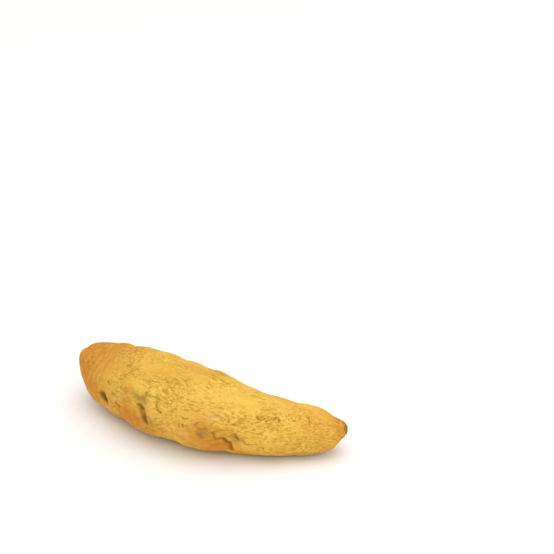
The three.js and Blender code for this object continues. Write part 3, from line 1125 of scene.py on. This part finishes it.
@dataclass(frozen=True)
class DriedTurmericRind:
    """Dried and polished turmeric: hard cork rind under a film of its own golden powder.

    The fingers were boiled, dried in the sun and tumbled in a drum, which rubbed the rind matte and left the
    powder on it. It is paler on what stands up, and browner in the wrinkles and creases, partly from the
    powder and the cork and partly as painted highlight and painted shade. The tip and the lower front are
    oranger, partly the rind's own orange and partly painted shade, and the underside is painted a little grey
    as painted shade. Torn places show the saturated orange flesh, and old hollows are grey.
    """

    gold: str = "#e4b64b"
    amber: str = "#daa13d"
    powder: str = "#f1cc64"
    furrow: str = "#b38c2c"
    crease: str = "#734812"
    blush: str = "#c3701b"
    flesh: str = "#c97c22"
    ash: str = "#92713a"
    pale: str = "#e6ae6c"
    cork: str = "#96693a"
    roughness: float = 0.86
    roughness_swing: float = 0.06
    dust_range: Span = (0.3, 0.8)
    ior: float = 1.45
    specular_level: float = 0.25
    fleck_roughness: float = 0.6
    stains: Fleck = Fleck(5.0, 1.4, 3.0)
    dust: Fleck = Fleck(0.9, 1.6, 2.0)
    # Real rind fibres are a tenth of a millimetre wide, too fine for the picture, so they are drawn coarser.
    fibres: Fleck = Fleck(0.3, 2.2, 1.0)
    fibre_height: float = 0.2 * MM
    fibre_strength: float = 0.6

    def coats(self) -> tuple[Coat, ...]:
        """The coats of colour over the gold, from the lowest up."""
        return (
            Coat(self.amber, Speckle.STAINS, 0.4, 0.65, 0.85),
            # Painted highlight, partly the powder itself: paler on what stands up in the fine wrinkles.
            Coat(self.powder, Tint.GRAIN, 0.55, 1.0, 0.75),
            Coat(self.powder, Speckle.DUST, 0.55, 0.75, 0.4),
            Coat(self.powder, Tint.FILM, 0.0, 1.0, 0.22),
            # Orange of the rind, and painted shade over the tip and the lower front.
            Coat(self.blush, Tint.BLUSH, 0.0, 1.0, 0.8),
            Coat(self.flesh, Tint.FLESH, 0.0, 1.0, 0.9),
            # The grey of old hollows, and painted shade on the underside.
            Coat(self.ash, Tint.ASH, 0.0, 1.0, 0.8),
            Coat(self.cork, Tint.CORK, 0.0, 1.0, 1.0),
            Coat(self.pale, Tint.PALE, 0.0, 1.0, 0.85),
            # Painted shade, partly the cork's own brown: darker in the low parts of the fine wrinkles.
            Coat(self.furrow, Tint.GRAIN, 0.42, 0.0, 0.85),
            Coat(self.furrow, Speckle.FIBRES, 0.5, 0.7, 0.8, thinned_by=Tint.ROUGH),
            # Painted shade, partly the cork's own brown: the crease coat darkens creases, furrows, pores and
            # scar walls.
            Coat(self.crease, Tint.DEEP, 0.1, 1.0, 0.85),
        )

    def dress(self, finger: bpy.types.Object) -> None:
        """Make the material and give it to the finger.

        Args:
            finger: the finger's object.
        """
        material = bpy.data.materials.new("dried_turmeric_rind")
        material.use_nodes = True
        tree = material.node_tree
        tree.nodes.clear()
        source: dict[Tint | Speckle, bpy.types.NodeSocket] = {}
        for layer in Tint:
            source[layer] = add_node(tree, "ShaderNodeAttribute", attribute_name=layer.value).outputs["Fac"]
        place = add_node(tree, "ShaderNodeAttribute", attribute_name="rind_place").outputs["Vector"]
        flecks = {Speckle.STAINS: self.stains, Speckle.DUST: self.dust, Speckle.FIBRES: self.fibres}
        for speckle, fleck in flecks.items():
            links = {"Vector": place, "Scale": (1 / fleck.stretch, 1.0, 1.0)}
            spread = add_node(tree, "ShaderNodeMapping", links, vector_type="POINT")
            links = {"Vector": spread.outputs["Vector"], "Scale": 1 / fleck.size, "Detail": fleck.detail}
            links |= {"Roughness": self.fleck_roughness}
            noise_node = add_node(tree, "ShaderNodeTexNoise", links, name=speckle.value)
            source[speckle] = noise_node.outputs["Fac"]

        colour = linear(self.gold)
        for coat in self.coats():
            links = {"Value": source[coat.layer], "From Min": coat.bare, "From Max": coat.full}
            share = add_node(tree, "ShaderNodeMapRange", links | {"To Max": coat.share}).outputs["Result"]
            if coat.thinned_by:
                links = {0: share, 1: source[coat.thinned_by]}
                share = add_node(tree, "ShaderNodeMath", links, operation="MULTIPLY").outputs[0]
            # For colours, the mix takes its share at input 0 and its two colours at inputs 6 and 7.
            links = {0: share, 6: colour, 7: linear(coat.colour)}
            colour = add_node(tree, "ShaderNodeMix", links, data_type="RGBA").outputs[2]

        least, most = self.dust_range
        links = {"Value": source[Speckle.DUST], "From Min": least, "From Max": most}
        links["To Min"] = self.roughness - self.roughness_swing
        links["To Max"] = self.roughness + self.roughness_swing
        matte = add_node(tree, "ShaderNodeMapRange", links)
        links = {"Strength": self.fibre_strength, "Distance": self.fibre_height}
        bump = add_node(tree, "ShaderNodeBump", links | {"Height": source[Speckle.FIBRES]})
        links = {"Base Color": colour, "Roughness": matte.outputs["Result"], "Normal": bump.outputs["Normal"]}
        links |= {"Specular IOR Level": self.specular_level, "IOR": self.ior}
        shader = add_node(tree, "ShaderNodeBsdfPrincipled", links)
        add_node(tree, "ShaderNodeOutputMaterial", {"Surface": shader.outputs["BSDF"]})
        finger.data.materials.append(material)


@dataclass(frozen=True)
class WhitePaper:
    """White drawing paper, laid flat: uncoated and matte, with no pattern that the picture could show."""

    colour: str = "#f6f5f2"
    roughness: float = 0.9

    def dress(self, table: bpy.types.Object) -> None:
        """Make the material and give it to the table.

        Args:
            table: the table's object.
        """
        material = bpy.data.materials.new("white_paper")
        material.use_nodes = True
        shader = material.node_tree.nodes["Principled BSDF"]
        shader.inputs["Base Color"].default_value = linear(self.colour)
        shader.inputs["Roughness"].default_value = self.roughness
        table.data.materials.append(material)


@dataclass
class PaleTable:
    """A pale, plain table under the finger, large enough to fill the picture."""

    half_size: float = 3.0

    def build(self) -> bpy.types.Object:
        """Make the table's top.

        Returns:
            The table's object.
        """
        s = self.half_size
        mesh = bpy.data.meshes.new("pale_table")
        mesh.from_pydata([(-s, -s, 0), (s, -s, 0), (s, s, 0), (-s, s, 0)], [], [(0, 1, 2, 3)])
        table = bpy.data.objects.new("pale_table", mesh)
        bpy.context.scene.collection.objects.link(table)
        return table


def aim(thing: bpy.types.Object, place: Sequence[float], ahead: Vector) -> None:
    """Put a lamp or a camera in the scene.

    Args:
        thing: the lamp's or the camera's object.
        place: where it stands, in metres.
        ahead: the direction that it faces.
    """
    thing.matrix_world = Matrix.Translation(place) @ ahead.to_track_quat("-Z", "Y").to_matrix().to_4x4()
    bpy.context.scene.collection.objects.link(thing)


@dataclass(frozen=True)
class LightPanel:
    """A square panel of light that faces the finger: its place and side in metres, and its power in watts."""

    name: str
    place: tuple[float, float, float]
    side: float
    power: float

    def hang(self) -> None:
        """Hang the panel in its place."""
        light = bpy.data.lights.new(self.name, "AREA")
        light.shape = "SQUARE"
        light.size = self.side
        light.energy = self.power
        aim(bpy.data.objects.new(self.name, light), self.place, -Vector(self.place))


@dataclass
class SoftStudio:
    """Soft studio light: a bright room, a large overhead panel and a panel at the front right."""

    room: float = 0.8
    panels: tuple[LightPanel, ...] = (
        LightPanel("overhead_panel", (0.06, 0.05, 0.6), 0.7, 1.7),
        LightPanel("front_panel", (0.3, -0.5, 0.45), 0.4, 1.0),
    )

    def build(self) -> None:
        """Light the room."""
        world = bpy.data.worlds.new("bright_room")
        world.use_nodes = True
        background = world.node_tree.nodes["Background"]
        background.inputs["Color"].default_value = (1.0, 1.0, 1.0, 1.0)
        background.inputs["Strength"].default_value = self.room
        bpy.context.scene.world = world
        for panel in self.panels:
            panel.hang()


@dataclass
class PhotoCamera:
    """The camera at the photograph's place, with its frame of 554 by 554 pixels."""

    place: tuple[float, float, float] = (0.15322, -0.35764, 0.23698)
    azimuth: float = 20.8
    elevation: float = 27.0
    focal_pixels: float = 2045.45
    frame_pixels: int = 554
    sensor: float = 36.0
    clip_start: float = 0.01

    def build(self) -> None:
        """Make the camera and look through it."""
        data = bpy.data.cameras.new("photo_camera")
        data.sensor_width = self.sensor
        data.sensor_fit = "HORIZONTAL"
        data.lens = self.focal_pixels * self.sensor / self.frame_pixels
        data.clip_start = self.clip_start
        camera = bpy.data.objects.new("photo_camera", data)
        azimuth, elevation = math.radians(self.azimuth), math.radians(self.elevation)
        level = Vector((-math.sin(azimuth), math.cos(azimuth), 0.0)) * math.cos(elevation)
        ahead = level - Vector((0.0, 0.0, math.sin(elevation)))
        aim(camera, self.place, ahead)
        bpy.context.scene.camera = camera


def main() -> None:
    """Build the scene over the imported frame."""
    logging.basicConfig(level=logging.INFO, format="%(name)s: %(message)s")
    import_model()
    form = FingerForm()
    relief = Relief(form)
    finger = FingerSkin(form, relief, FineRind(form, relief)).build()
    DriedTurmericRind().dress(finger)
    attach(finger, "root")
    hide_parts(NODE)
    LOG.info("finger skin: %d points, %d faces", len(finger.data.vertices), len(finger.data.polygons))
    table = PaleTable().build()
    WhitePaper().dress(table)
    LOG.info("table laid")
    SoftStudio().build()
    PhotoCamera().build()
    bpy.context.scene.view_settings.view_transform = "Standard"
    LOG.info("light and camera set")


if __name__ == "__main__":
    main()
